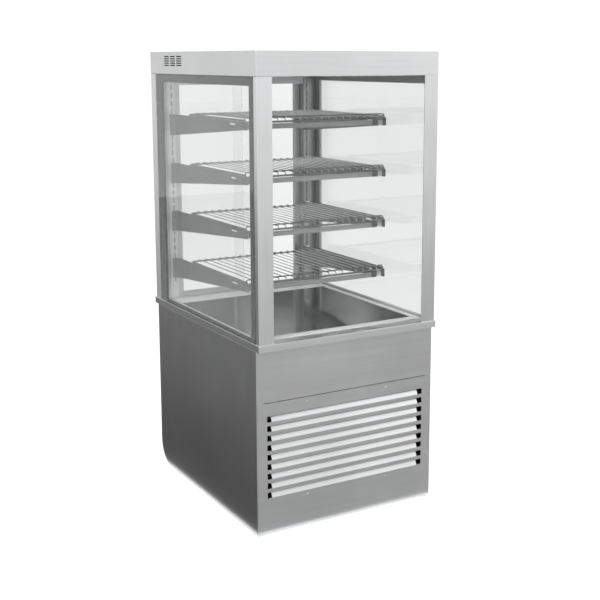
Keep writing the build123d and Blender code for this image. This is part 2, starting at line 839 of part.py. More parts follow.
def switch_bezel():
    """Housing of the rocker switch, through the rear wall of the canopy."""
    x, z = (switch_width / 2, switch_length / 2)
    face = canopy_back + switch_flange
    bezel = span((switch_x - x, switch_x + x), (face - switch_depth, face), (switch_z - z, switch_z + z))
    lip_x, lip_z = x + switch_lip, z + switch_lip
    bezel += span((switch_x - lip_x, switch_x + lip_x), (canopy_back + seat_gap, face),
                  (switch_z - lip_z, switch_z + lip_z))
    bezel -= span((switch_x - pocket_width / 2, switch_x + pocket_width / 2), (face - pocket_depth, face + 1),
                  (switch_z - pocket_length / 2, switch_z + pocket_length / 2))
    bezel -= pin(switch_x, face - pivot_depth, switch_z, pivot_radius + axle_gap,
                 pocket_width + 2 * pivot_length + 2 * seat_gap, "X")
    return bezel


def switch_rocker():
    """Rocker with a shallow V face, tilted to the off side, and its two pivot stubs."""
    outline = [
        (rocker_wing, -rocker_half_length), (rocker_crown, 0), (rocker_wing, rocker_half_length),
        (1, rocker_half_length), (-3, 3), (-3, -3), (1, -rocker_half_length),
    ]
    half = pocket_width / 2 - seat_gap
    rocker = along_x(outline, both(half))
    rocker += pin(0, 0, 0, pivot_radius, 2 * (pocket_width / 2 + pivot_length), "X")
    face = canopy_back + switch_flange
    return Pos(switch_x, face - pivot_depth, switch_z) * Rot(-rocker_tilt, 0, 0) * rocker


def parts():
    """Every piece by its name."""
    side = side_panel()
    post_front, post_rear = front_post(), rear_post()
    outer_pane = side_pane(glass_outer)
    inner_pane = side_pane(glass_inner + pane)
    border = side_border()
    bracket = shelf_bracket()
    rack = wire_rack()
    strip, cap = ticket_strip(), strip_cap()
    pieces = {
        "plinth_side_panel_right": side,
        "plinth_side_panel_left": left_hand(side),
        "plinth_base_pan": base_pan(),
        "louvred_front_panel": louvred_front_panel(),
        "upper_front_panel": upper_front_panel(),
        "front_cross_rail": front_cross_rail(),
        "rear_access_panel": rear_access_panel(),
        "mains_cable_gland": mains_cable_gland(),
        "castor_top_plates": castor_plates(),
        "counter_ledge": counter_ledge(),
        "well_frame": well_frame(),
        "deck_tray": deck_tray(),
        "front_post_right": post_front,
        "front_post_left": left_hand(post_front),
        "rear_post_right": post_rear,
        "rear_post_left": left_hand(post_rear),
        "front_glass": front_glass(),
        "side_glass_right": outer_pane,
        "side_glass_left": left_hand(outer_pane),
        "side_glass_inner_panes": Compound([inner_pane, left_hand(inner_pane)]),
        "side_glass_borders": Compound([border, left_hand(border)]),
        "shelf_brackets_right": bracket_set(bracket),
        "shelf_brackets_left": bracket_set(left_hand(bracket)),
        "door_top_track": top_track(),
        "door_bottom_track": bottom_track(),
        "door_glass_left": door_glass(-1),
        "door_glass_right": door_glass(1),
        "door_pull_left": door_pull(-1),
        "door_pull_right": door_pull(1),
        "canopy_shell": canopy_shell(),
        "canopy_soffit": canopy_soffit(),
        "canopy_light_body": light_body(),
        "canopy_light_diffuser": light_diffuser(),
        "led_driver": led_driver(),
        "light_switch_bezel": switch_bezel(),
        "light_switch_rocker": switch_rocker(),
    }
    for (x, y), place in zip(castor_places(), ("front_left", "front_right", "rear_left", "rear_right")):
        pieces["castor_fork_" + place] = castor_fork(x, y)
        pieces["castor_wheel_" + place] = castor_wheel(x, y)
    for number, line in enumerate(shelf_lines, 1):
        pieces[f"wire_rack_{number}"] = at_line(rack, line)
        pieces[f"ticket_strip_{number}"] = Pos(0, 0, line) * strip
        pieces[f"ticket_strip_caps_{number}"] = at_line([cap, left_hand(cap)], line)
    return pieces


os.makedirs("parts", exist_ok=True)
for name, piece in parts().items():
    export_step(piece, f"parts/{name}.step")
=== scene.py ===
import bpy
import bmesh
import json
from math import pi, radians
from mathutils import Matrix, Vector

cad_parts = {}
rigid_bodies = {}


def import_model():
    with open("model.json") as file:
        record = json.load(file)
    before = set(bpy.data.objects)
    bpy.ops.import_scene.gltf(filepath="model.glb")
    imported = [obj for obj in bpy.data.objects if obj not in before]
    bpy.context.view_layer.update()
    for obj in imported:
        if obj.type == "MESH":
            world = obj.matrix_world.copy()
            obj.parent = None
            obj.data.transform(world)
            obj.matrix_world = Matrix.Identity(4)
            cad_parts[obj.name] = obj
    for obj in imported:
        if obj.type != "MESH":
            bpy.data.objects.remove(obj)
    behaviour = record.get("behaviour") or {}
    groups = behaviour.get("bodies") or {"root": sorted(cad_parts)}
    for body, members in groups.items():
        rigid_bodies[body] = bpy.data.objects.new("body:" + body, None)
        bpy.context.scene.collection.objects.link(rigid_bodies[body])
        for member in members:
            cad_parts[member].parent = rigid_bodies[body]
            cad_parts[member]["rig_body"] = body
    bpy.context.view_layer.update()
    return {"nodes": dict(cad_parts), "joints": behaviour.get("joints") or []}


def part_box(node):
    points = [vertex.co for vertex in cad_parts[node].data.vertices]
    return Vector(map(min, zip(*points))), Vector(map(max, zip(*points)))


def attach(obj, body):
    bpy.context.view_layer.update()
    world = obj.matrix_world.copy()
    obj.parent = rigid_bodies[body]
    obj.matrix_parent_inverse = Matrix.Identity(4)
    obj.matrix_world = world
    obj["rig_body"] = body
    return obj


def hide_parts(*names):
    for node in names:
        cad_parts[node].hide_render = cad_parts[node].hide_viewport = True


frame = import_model()
mm = 0.001  # the frame is in metres, every size below is written in millimetres

print("frame loaded,", len(frame["nodes"]), "nodes")


# Materials: every pattern reads Object coordinates, so it stays on its piece

steelLook = {
    "tone": (0.62, 0.625, 0.63),
    "roughness": 0.34,
    "streakWidth": 2.2,      # mm across one visible brush streak
    "streakLength": 320,
    "streakDepth": 0.05,     # share of the tone that a streak takes or gives
    "cloudSize": 260,        # mm, slow drift of the finish over a sheet
    "cloudDepth": 0.05,
    "bump": 0.03,
    "streakDetail": 4.0,
    "streakSoftness": 0.6,
    "smoother": 0.05,        # roughness a streak takes off or puts on
    "rougher": 0.06,
}

noiseSpread = (0.3, 0.7)     # where noise mostly lies


def newMaterial(name, roughness=0.5, metallic=0.0, colour=(0.8, 0.8, 0.8)):
    material = bpy.data.materials.new(name)
    material.use_nodes = True
    shader = material.node_tree.nodes["Principled BSDF"]
    shader.inputs["Base Color"].default_value = (*colour, 1)
    shader.inputs["Roughness"].default_value = roughness
    shader.inputs["Metallic"].default_value = metallic
    return material, shader


def objectNoise(tree, size, detail=2.0, softness=0.5):
    # size is how far the pattern runs along X, Y and Z before it changes, in mm
    place = tree.nodes.new("ShaderNodeTexCoord")
    stretch = tree.nodes.new("ShaderNodeMapping")
    stretch.inputs["Scale"].default_value = [1 / (length * mm) for length in size]
    noise = tree.nodes.new("ShaderNodeTexNoise")
    noise.inputs["Scale"].default_value = 1.0
    noise.inputs["Detail"].default_value = detail
    noise.inputs["Roughness"].default_value = softness
    tree.links.new(place.outputs["Object"], stretch.inputs["Vector"])
    tree.links.new(stretch.outputs["Vector"], noise.inputs["Vector"])
    return noise.outputs["Fac"]


def ranged(tree, value, low, high):
    node = tree.nodes.new("ShaderNodeMapRange")
    node.inputs["From Min"].default_value, node.inputs["From Max"].default_value = noiseSpread
    node.inputs["To Min"].default_value = low
    node.inputs["To Max"].default_value = high
    tree.links.new(value, node.inputs["Value"])
    return node.outputs["Result"]


def tinted(tree, strength, colour, shader):
    # the tone, brighter or darker by a value near 1
    node = tree.nodes.new("ShaderNodeVectorMath")
    node.operation = "SCALE"
    node.inputs[0].default_value = colour
    tree.links.new(strength, node.inputs["Scale"])
    tree.links.new(node.outputs["Vector"], shader.inputs["Base Color"])


def times(tree, first, second):
    node = tree.nodes.new("ShaderNodeMath")
    node.operation = "MULTIPLY"
    tree.links.new(first, node.inputs[0])
    tree.links.new(second, node.inputs[1])
    return node.outputs["Value"]


def bumped(tree, height, shader, strength, distance=0.2):
    node = tree.nodes.new("ShaderNodeBump")
    node.inputs["Strength"].default_value = strength
    node.inputs["Distance"].default_value = distance * mm
    tree.links.new(height, node.inputs["Height"])
    tree.links.new(node.outputs["Normal"], shader.inputs["Normal"])


def brushedSteel(name, grain, tone=1.0, roughness=None):
    look = steelLook
    colour = [channel * tone for channel in look["tone"]]
    material, shader = newMaterial(name, roughness or look["roughness"], 1.0, colour)
    tree = material.node_tree
    size = [look["streakWidth"]] * 3
    size["XYZ".index(grain)] = look["streakLength"]
    streaks = objectNoise(tree, size, look["streakDetail"], look["streakSoftness"])
    clouds = objectNoise(tree, [look["cloudSize"]] * 3)
    depth, drift = look["streakDepth"], look["cloudDepth"]
    streakTone = ranged(tree, streaks, 1 - depth, 1 + depth)
    cloudTone = ranged(tree, clouds, 1 - drift, 1 + drift)
    tinted(tree, times(tree, streakTone, cloudTone), colour, shader)
    base = roughness or look["roughness"]
    polish = ranged(tree, streaks, base - look["smoother"], base + look["rougher"])
    tree.links.new(polish, shader.inputs["Roughness"])
    bumped(tree, streaks, shader, look["bump"])
    return material


plasticLook = {
    "detail": 3.0,
    "toneDepth": 0.05,
    "bump": 0.15,
    "bumpDepth": 0.05,       # mm
}


def grainedPlastic(name, colour, roughness, grain=0.8):
    look = plasticLook
    material, shader = newMaterial(name, roughness, 0.0, colour)
    tree = material.node_tree
    noise = objectNoise(tree, [grain] * 3, look["detail"])
    tinted(tree, ranged(tree, noise, 1 - look["toneDepth"], 1 + look["toneDepth"]), colour, shader)
    bumped(tree, noise, shader, look["bump"], look["bumpDepth"])
    return material


platingLook = {
    "detail": 3.0,
    "roughnessDrift": 0.05,
}


def platedMetal(name, colour, roughness, patch, depth):
    # patch is in mm, depth is the share of the tone that a patch takes or gives
    look = platingLook
    material, shader = newMaterial(name, roughness, 1.0, colour)
    tree = material.node_tree
    noise = objectNoise(tree, [patch] * 3, look["detail"])
    tinted(tree, ranged(tree, noise, 1 - depth, 1 + depth), colour, shader)
    drift = look["roughnessDrift"]
    tree.links.new(ranged(tree, noise, roughness - drift, roughness + drift), shader.inputs["Roughness"])
    return material


spangleLook = {
    "tone": (0.55, 0.57, 0.58),
    "roughness": 0.42,
    "crystal": 6,            # mm across
    "darkest": 0.9,
    "brightest": 1.08,
}


def spangledZinc(name):
    # galvanised sheet, each crystal with its own tone
    look = spangleLook
    material, shader = newMaterial(name, look["roughness"], 1.0, look["tone"])
    tree = material.node_tree
    place = tree.nodes.new("ShaderNodeTexCoord")
    cells = tree.nodes.new("ShaderNodeTexVoronoi")
    cells.inputs["Scale"].default_value = 1 / (look["crystal"] * mm)
    tree.links.new(place.outputs["Object"], cells.inputs["Vector"])
    grey = tree.nodes.new("ShaderNodeRGBToBW")
    tree.links.new(cells.outputs["Color"], grey.inputs["Color"])
    crystalTone = ranged(tree, grey.outputs["Val"], look["darkest"], look["brightest"])
    tinted(tree, crystalTone, look["tone"], shader)
    return material


paneLook = {
    "tint": (0.905, 0.915, 0.91),
    "refractiveIndex": 1.28,     # low, so the panes mirror weakly
    "lampTint": (0.93, 0.94, 0.935),
}


def paneGlass(name):
    # lamps pass straight through, as they do through a thin pane
    look = paneLook
    material, shader = newMaterial(name, 0.0, 0.0, look["tint"])
    shader.inputs["Transmission Weight"].default_value = 1.0
    shader.inputs["IOR"].default_value = look["refractiveIndex"]
    tree = material.node_tree
    rays = tree.nodes.new("ShaderNodeLightPath")
    clear = tree.nodes.new("ShaderNodeBsdfTransparent")
    clear.inputs["Color"].default_value = (*look["lampTint"], 1)
    choice = tree.nodes.new("ShaderNodeMixShader")
    tree.links.new(rays.outputs["Is Shadow Ray"], choice.inputs[0])
    tree.links.new(shader.outputs["BSDF"], choice.inputs[1])
    tree.links.new(clear.outputs["BSDF"], choice.inputs[2])
    tree.links.new(choice.outputs["Shader"], tree.nodes["Material Output"].inputs["Surface"])
    return material


steelAcross = brushedSteel("brushedSteelAcross", "X")
steelUpright = brushedSteel("brushedSteelUpright", "Z")
# painted light: a paler copy of the steel for the light the counter ledge catches
steelLedgeLit = brushedSteel("brushedSteelLedgeLit", "X", tone=1.14)
# painted light: a paler copy of the steel for the lit front-left post; the front-right post keeps the plain
# upright steel
steelPostLit = brushedSteel("brushedSteelPostLit", "Z", tone=1.1)
# painted shade and reflection: a darker, glossier copy of the steel for the dark things the deck mirrors
steelDeckShaded = brushedSteel("brushedSteelDeckShaded", "X", tone=0.66, roughness=0.13)
# painted highlight: a much paler, rougher copy of the steel for the light the well rim catches
steelRimHighlight = brushedSteel("brushedSteelRimHighlight", "X", tone=1.55, roughness=0.7)
# painted shade: a very dark copy of the steel for the shade the shelf brackets stand in
steelBracketsShaded = brushedSteel("brushedSteelBracketsShaded", "Y", tone=0.22, roughness=0.4)
# painted highlight: a pale copy of the steel, laid on the right-hand brackets' front faces only
steelTabsHighlight = brushedSteel("brushedSteelTabsHighlight", "Z", tone=1.55, roughness=0.5)
# painted light and shade: a pale copy of the steel for the lit rear-left post and a dark copy for the shaded
# rear-right post
steelRearLeftLit = brushedSteel("brushedSteelRearLeftLit", "Z", tone=1.2, roughness=0.5)
steelRearRightShaded = brushedSteel("brushedSteelRearRightShaded", "Z", tone=0.6, roughness=0.4)
galvanised = spangledZinc("galvanisedSheet")
zincPlate = platedMetal("zincPlate", (0.60, 0.60, 0.58), roughness=0.35, patch=4, depth=0.08)
brightWire = platedMetal("brightWire", (0.46, 0.464, 0.468), roughness=0.13, patch=9, depth=0.04)
# painted shade: a darker copy of the wire plating for the rack frames' rods
frameRodShaded = platedMetal("frameRodShaded", (0.19, 0.192, 0.194), roughness=0.2, patch=9, depth=0.04)
anodised = platedMetal("anodisedAluminium", (0.56, 0.57, 0.58), roughness=0.4, patch=30, depth=0.02)
clearPane = paneGlass("paneGlass")
spacerGrey = grainedPlastic("spacerGrey", (0.036, 0.037, 0.037), roughness=0.55)
# painted light: a pale copy of the border grey, laid on the right-hand borders' faces except their outer ones
spacerPaintedLight = grainedPlastic("spacerPaintedLight", (0.44, 0.445, 0.445), roughness=0.5)
stripGrey = grainedPlastic("stripGrey", (0.24, 0.245, 0.245), roughness=0.3)
capGrey = grainedPlastic("capGrey", (0.07, 0.072, 0.075), roughness=0.4)
switchBlack = grainedPlastic("switchBlack", (0.03, 0.03, 0.032), roughness=0.35)
glandGrey = grainedPlastic("glandGrey", (0.05, 0.052, 0.055), roughness=0.45)
diffuserWhite = grainedPlastic("diffuserWhite", (0.82, 0.82, 0.80), roughness=0.35, grain=0.5)
casingWhite = grainedPlastic("casingWhite", (0.78, 0.78, 0.76), roughness=0.4)
treadRubber = grainedPlastic("treadRubber", (0.05, 0.05, 0.052), roughness=0.6, grain=1.5)

print("materials made")


# Making pieces

meshCare = {
    "mergeWithin": 0.002,    # mm
    "flatWithin": 0.6,       # degrees between faces that become one
    "sharpOver": 38,         # degrees, edges past this are eased
}

edgeSizes = {
    "plinth": 0.5,
    "louvre": 0.4,
    "pan": 0.4,
    "ledge": 0.9,
    "well": 0.35,
    "canopy": 0.6,
    "soffit": 0.35,
    "post": 0.4,
    "bracket": 0.3,
    "glass": 0.5,
    "border": 0.3,
    "track": 0.4,
    "strip": 0.25,
    "cap": 0.3,
    "light": 0.3,
    "driver": 0.8,
    "bezel": 0.5,
    "rocker": 0.4,
    "gland": 0.5,
    "fork": 0.5,
}

squareOn = 0.8               # faces that look almost straight along a direction
allButAway = -0.5            # every face except those that look the other way
borderThinning = 0.96        # share of a border's depth between the panes that is left


def finishPiece(name, bm, materials, body, nodes=(), smoothAngle=0):
    mesh = bpy.data.meshes.new(name)
    bm.to_mesh(mesh)
    bm.free()
    for material in materials:
        mesh.materials.append(material)
    if smoothAngle:
        mesh.shade_smooth()
        mesh.set_sharp_from_angle(angle=radians(smoothAngle))
    else:
        mesh.shade_flat()
    piece = bpy.data.objects.new(name, mesh)
    bpy.context.scene.collection.objects.link(piece)
    if nodes:
        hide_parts(*nodes)
    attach(piece, body)
    return piece


def bodyOf(node):
    return frame["nodes"][node]["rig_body"]


def softened(node, name, material, edge, segments=2, smoothAngle=0, litFacing=None, thinned=None):
    # the same solid with its outer and inner edges eased, as bent sheet and cut glass have them
    # litFacing gives the faces that look one way a paler copy of the finish, painted light, on the customer's
    # right only
    # thinned leaves a hair of air on both sides of a piece that lies between two panes
    bm = bmesh.new()
    bm.from_mesh(frame["nodes"][node].data)
    bmesh.ops.remove_doubles(bm, verts=bm.verts, dist=meshCare["mergeWithin"] * mm)
    bmesh.ops.dissolve_limit(bm, angle_limit=radians(meshCare["flatWithin"]), verts=bm.verts, edges=bm.edges)
    if thinned:
        for side in (-1, 1):
            mine = [v for v in bm.verts if v.co.x * side > 0]
            middle = (min(v.co.x for v in mine) + max(v.co.x for v in mine)) / 2
            bmesh.ops.scale(bm, verts=mine, vec=(thinned, 1, 1), space=Matrix.Translation((-middle, 0, 0)))
    limit = radians(meshCare["sharpOver"])
    sharp = [e for e in bm.edges if len(e.link_faces) == 2 and e.calc_face_angle(0) > limit]
    bmesh.ops.bevel(bm, geom=sharp, offset=edge * mm, offset_type="OFFSET", segments=segments, profile=0.5,
                    affect="EDGES", clamp_overlap=True, material=-1)
    materials = [material]
    # the paler copy is painted light, laid on the right-hand side only
    if litFacing:
        direction, least, second = litFacing
        materials.append(second)
        for face in bm.faces:
            turned = face.normal.dot(Vector(direction)) > least
            face.material_index = int(turned and face.calc_center_median().x > 0)
    return finishPiece(name, bm, materials, bodyOf(node), [node], smoothAngle)


def dressed(node, material):
    # a CAD piece that stays as it is, with its finish
    piece = frame["nodes"][node]
    piece.data.materials.clear()
    piece.data.materials.append(material)


# Wire and rod

def turnTo(direction):
    return Vector(direction).normalized().to_track_quat("Z", "Y").to_matrix()


def bentRod(bm, points, radius, bend=0, sides=12, bendSteps=5):
    # one rod: a ring drawn out along its straight runs and spun round its bends
    points = [Vector(p) for p in points]
    heading = (points[1] - points[0]).normalized()
    ring = bmesh.ops.create_circle(bm, cap_ends=False, radius=radius, segments=sides)["verts"]
    bmesh.ops.rotate(bm, verts=ring, cent=(0, 0, 0), matrix=turnTo(heading))
    bmesh.ops.translate(bm, verts=ring, vec=points[0])
    edges = list({e for v in ring for e in v.link_edges})
    bmesh.ops.edgeloop_fill(bm, edges=edges)
    here = points[0]
    for i in range(1, len(points)):
        last = i == len(points) - 1
        heading = (points[i] - points[i - 1]).normalized()
        stop = points[i] if last else points[i] - heading * bend
        drawn = bmesh.ops.extrude_edge_only(bm, edges=edges)["geom"]
        moved = [g for g in drawn if isinstance(g, bmesh.types.BMVert)]
        bmesh.ops.translate(bm, verts=moved, vec=stop - here)
        edges = [g for g in drawn if isinstance(g, bmesh.types.BMEdge)]
        here = stop
        if last:
            break
        onward = (points[i + 1] - points[i]).normalized()
        axis = heading.cross(onward)
        centre = stop + onward * bend
        spun = bmesh.ops.spin(bm, geom=edges, cent=centre, axis=axis, dvec=(0, 0, 0),
                              angle=heading.angle(onward), steps=bendSteps,
                              use_merge=False, use_normal_flip=False, use_duplicate=False)
        edges = [g for g in spun["geom_last"] if isinstance(g, bmesh.types.BMEdge)]
        here = points[i] + onward * bend
    bmesh.ops.edgeloop_fill(bm, edges=edges)


rackSizes = {
    "halfWidth": 233,        # middle of the frame's side rods
    "rodRadius": 3,
    "wireRadius": 1.5,
    "stopRadius": 2,
    "wireGaps": 19,
    "frontRodY": -185,
    "frontRodZ": -2,         # heights are from the shelf line
    "frameZ": 3.3,
    "rearY": 209,
    "cornerBend": 10,
    "wireZ": 7.75,
    "wireTail": 4,
    "wireBend": 3,
    "stopY": -179,
    "stopZ": 11.2,
    "stopBend": 4,
    "lowestPoint": 5,        # shelf line to the underside of the front rod
    "rodOverhang": 3,        # front rod past the side rods
    "weldDepth": 0.5,        # side rods into the front rod
    "footRise": 2.6,         # middle of a rod to a wire end welded on it
}


def wireRack(number):
    size = rackSizes
    node = f"wire_rack_{number}"
    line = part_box(node)[0].z / mm + size["lowestPoint"]
    half, rear, front = size["halfWidth"], size["rearY"], size["frontRodY"]

    def at(x, y, z):
        return Vector((x, y, line + z)) * mm

    bm = bmesh.new()
    rod = size["rodRadius"] * mm
    frameZ, rodZ, wireZ = size["frameZ"], size["frontRodZ"], size["wireZ"]
    nose = front + size["rodRadius"] - size["weldDepth"]
    over, rise = size["rodOverhang"], size["footRise"]
    frameLine = [at(-half, nose, frameZ), at(-half, rear, frameZ), at(half, rear, frameZ),
                 at(half, nose, frameZ)]
    bentRod(bm, frameLine, rod, size["cornerBend"] * mm, sides=14, bendSteps=6)
    bentRod(bm, [at(-half - over, front, rodZ), at(half + over, front, rodZ)], rod, sides=14)
    stopY, stopZ = size["stopY"], size["stopZ"]
    stopLine = [at(-half, stopY, frameZ + rise), at(-half, stopY, stopZ), at(half, stopY, stopZ),
                at(half, stopY, frameZ + rise)]
    bentRod(bm, stopLine, size["stopRadius"] * mm, size["stopBend"] * mm, sides=12, bendSteps=5)
    rods = set(bm.faces)
    pitch = 2 * half / size["wireGaps"]
    for i in range(1, size["wireGaps"]):
        x = -half + i * pitch
        wireLine = [at(x, rear + size["wireTail"], wireZ), at(x, front, wireZ), at(x, front, rodZ + rise)]
        bentRod(bm, wireLine, size["wireRadius"] * mm, size["wireBend"] * mm, sides=10, bendSteps=4)
    for face in bm.faces:
        face.material_index = int(face in rods)
    bmesh.ops.recalc_face_normals(bm, faces=bm.faces)
    finishPiece(f"wireRack{number}", bm, [brightWire, frameRodShaded], bodyOf(node), [node],
                smoothAngle=40)


for number in range(1, 5):
    wireRack(number)
    softened(f"ticket_strip_{number}", f"ticketStrip{number}", stripGrey, edgeSizes["strip"])
    softened(f"ticket_strip_caps_{number}", f"ticketStripCaps{number}", capGrey, edgeSizes["cap"])

print("wire racks and ticket strips made")


# Sheet metal

for side in ("left", "right"):
    softened(f"plinth_side_panel_{side}", f"plinthSide_{side}", steelUpright, edgeSizes["plinth"])
    softened(f"shelf_brackets_{side}", f"shelfBrackets_{side}", steelBracketsShaded, edgeSizes["bracket"],
             litFacing=((0, -1, 0), squareOn, steelTabsHighlight))
    softened(f"side_glass_{side}", f"sideGlass_{side}", clearPane, edgeSizes["glass"])
    softened(f"door_glass_{side}", f"doorGlass_{side}", clearPane, edgeSizes["glass"])
    softened(f"door_pull_{side}", f"doorPull_{side}", anodised, edgeSizes["track"])

softened("front_post_left", "frontPost_left", steelPostLit, edgeSizes["post"])
softened("front_post_right", "frontPost_right", steelUpright, edgeSizes["post"])
softened("rear_post_left", "rearPost_left", steelRearLeftLit, edgeSizes["post"])
softened("rear_post_right", "rearPost_right", steelRearRightShaded, edgeSizes["post"])
softened("louvred_front_panel", "louvredFront", steelAcross, edgeSizes["louvre"])
softened("upper_front_panel", "upperFront", steelAcross, edgeSizes["plinth"])
softened("rear_access_panel", "rearPanel", steelUpright, edgeSizes["plinth"])
softened("plinth_base_pan", "basePan", galvanised, edgeSizes["pan"])
softened("front_cross_rail", "crossRail", galvanised, edgeSizes["pan"])
softened("counter_ledge", "counterLedge", steelLedgeLit, edgeSizes["ledge"])
softened("well_frame", "wellFrame", steelRimHighlight, edgeSizes["well"])
softened("deck_tray", "deckTray", steelDeckShaded, edgeSizes["well"])
softened("canopy_shell", "canopyShell", steelAcross, edgeSizes["canopy"])
softened("canopy_soffit", "canopySoffit", galvanised, edgeSizes["soffit"])
softened("front_glass", "frontGlass", clearPane, edgeSizes["glass"])
softened("side_glass_inner_panes", "innerPanes", clearPane, edgeSizes["glass"])
softened("side_glass_borders", "glassBorders", spacerGrey, edgeSizes["border"],
         litFacing=((-1, 0, 0), allButAway, spacerPaintedLight), thinned=borderThinning)
softened("door_top_track", "topTrack", anodised, edgeSizes["track"])
softened("door_bottom_track", "bottomTrack", anodised, edgeSizes["track"])
softened("canopy_light_body", "lightBody", anodised, edgeSizes["light"])
softened("canopy_light_diffuser", "lightDiffuser", diffuserWhite, edgeSizes["light"])
softened("led_driver", "ledDriver", casingWhite, edgeSizes["driver"], segments=3)
softened("light_switch_bezel", "switchBezel", switchBlack, edgeSizes["bezel"], segments=3)
softened("light_switch_rocker", "switchRocker", switchBlack, edgeSizes["rocker"], segments=3)
softened("mains_cable_gland", "cableGland", glandGrey, edgeSizes["gland"], segments=3, smoothAngle=30)

print("sheet metal and glass made")


# Castors and fasteners

castorPlaces = ("front_left", "front_right", "rear_left", "rear_right")

for place in castorPlaces:
    softened(f"castor_fork_{place}", f"castorFork_{place}", zincPlate, edgeSizes["fork"], smoothAngle=30)
    dressed(f"castor_wheel_{place}", treadRubber)
dressed("castor_top_plates", zincPlate)

screwSizes = {
    "headRadius": 2.9,
    "headHeight": 1.2,
    "rimHeight": 0.45,
    "crownRadius": 2.2,
    "recessArm": 1.5,        # middle to the end of the cross recess
    "recessHalfWidth": 0.4,
    "recessDepth": 0.7,
    "sides": 24,
    "seat": 0.05,            # air between head and panel
    "frontX": 135,
    "frontHeights": (97, 377),
    "rearInset": 12,         # edge of the rear panel to a screw
    "rearHeights": (130, 300, 490),
}


def grownRings(bm, edges, radius, steps):
    # a ring drawn out step by step, each step a new radius and height in millimetres
    height = 0.0
    for newRadius, newHeight in steps:
        ring = bmesh.ops.extrude_edge_only(bm, edges=edges)["geom"]
        moved = [g for g in ring if isinstance(g, bmesh.types.BMVert)]
        edges = [g for g in ring if isinstance(g, bmesh.types.BMEdge)]
        bmesh.ops.scale(bm, verts=moved, vec=(newRadius / radius, newRadius / radius, 1))
        bmesh.ops.translate(bm, verts=moved, vec=(0, 0, (newHeight - height) * mm))
        radius, height = newRadius, newHeight
    return edges


def panelScrew(bm, x, face, z, outward):
    # a pan head with a cross recess, its back on the panel
    size = screwSizes
    before = set(bm.verts)
    arm, half = size["recessArm"] * mm, size["recessHalfWidth"] * mm
    cross = [(half, arm), (-half, arm), (-half, half), (-arm, half), (-arm, -half), (-half, -half),
             (-half, -arm), (half, -arm), (half, -half), (arm, -half), (arm, half), (half, half)]
    floor = bm.faces.new([bm.verts.new((a, b, 0)) for a, b in cross])
    inner = list(floor.edges)
    crown = bmesh.ops.create_circle(bm, cap_ends=False, radius=size["crownRadius"] * mm,
                                    segments=size["sides"])["verts"]
    outer = list({e for v in crown for e in v.link_edges})
    bmesh.ops.bridge_loops(bm, edges=inner + outer)
    sunk = bmesh.ops.extrude_face_region(bm, geom=[floor])["geom"]
    bmesh.ops.delete(bm, geom=[floor], context="FACES_ONLY")
    bmesh.ops.translate(bm, verts=[g for g in sunk if isinstance(g, bmesh.types.BMVert)],
                        vec=(0, 0, -size["recessDepth"] * mm))
    rim, height = size["headRadius"], size["headHeight"]
    steps = [(rim, size["rimHeight"] - height), (rim, -height)]
    last = grownRings(bm, outer, size["crownRadius"], steps)
    bmesh.ops.edgeloop_fill(bm, edges=last)
    mine = [v for v in bm.verts if v not in before]
    bmesh.ops.rotate(bm, verts=mine, cent=(0, 0, 0), matrix=Matrix.Rotation(-outward * pi / 2, 3, "X"))
    bmesh.ops.translate(bm, verts=mine, vec=(x, face + outward * (height + size["seat"]) * mm, z))


def panelScrews():
    size = screwSizes
    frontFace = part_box("louvred_front_panel")[0].y
    low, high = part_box("rear_access_panel")
    bm = bmesh.new()
    for side in (-1, 1):
        for z in size["frontHeights"]:
            panelScrew(bm, side * size["frontX"] * mm, frontFace, z * mm, -1)
        for z in size["rearHeights"]:
            panelScrew(bm, side * (high.x - size["rearInset"] * mm), high.y, z * mm, 1)
    bmesh.ops.recalc_face_normals(bm, faces=bm.faces)
    finishPiece("panelScrews", bm, [zincPlate], "root", smoothAngle=35)


plateBolts = {
    "spacing": 44,
    "headRadius": 5,
    "headHeight": 3.5,
    "headEdge": 0.6,
    "plateSheet": 3,
    "seat": 0.05,            # air between head and plate
}


def pivotOf(jointName):
    joint = next(j for j in frame["joints"] if j["name"] == jointName)
    return joint["pos_m"][0], joint["pos_m"][1]


def boltHead(bm, x, y, under):
    size = plateBolts
    radius = size["headRadius"] * mm
    head = bmesh.ops.create_cone(bm, cap_ends=True, segments=6, radius1=radius, radius2=radius,
                                 depth=size["headHeight"] * mm)["verts"]
    middle = under - (size["headHeight"] / 2 + size["seat"]) * mm
    bmesh.ops.translate(bm, verts=head, vec=(x, y, middle))
    low = [e for e in {e for v in head for e in v.link_edges} if all(v.co.z < middle for v in e.verts)]
    bmesh.ops.bevel(bm, geom=low, offset=size["headEdge"] * mm, offset_type="OFFSET", segments=1, profile=0.5,
                    affect="EDGES", clamp_overlap=True, material=-1)


def castorPlateBolts():
    # four hexagon heads under each castor plate
    size = plateBolts
    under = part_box("castor_top_plates")[1].z - size["plateSheet"] * mm
    bm = bmesh.new()
    for place in castorPlaces:
        x, y = pivotOf(f"castor_{place}_swivel")
        for i in (-1, 1):
            for j in (-1, 1):
                boltHead(bm, x + i * size["spacing"] / 2 * mm, y + j * size["spacing"] / 2 * mm, under)
    bmesh.ops.recalc_face_normals(bm, faces=bm.faces)
    finishPiece("castorPlateBolts", bm, [zincPlate], "root")


panelScrews()
castorPlateBolts()

print("castors and screws made")


# Floor, light and camera

stageSizes = {
    "floorHalf": 30,         # m
    "floorColour": (0.80, 0.80, 0.80),
    "floorRoughness": 0.9,
    "whiteLift": 0.56,       # what sight, mirrors and glass get on top of the lit floor
    "worldLight": 0.62,
    "worldSeen": 1.07,       # the same white as the far floor, so no horizon shows
    "lampAim": (0, 0, 0.8),
}

studioLamps = {
    # place and width in metres, and strength
    "keyLight": ((-2.2, -2.6, 3.2), 2.4, 95),
    "fillLight": ((2.6, -1.4, 2.6), 2.0, 30),
}


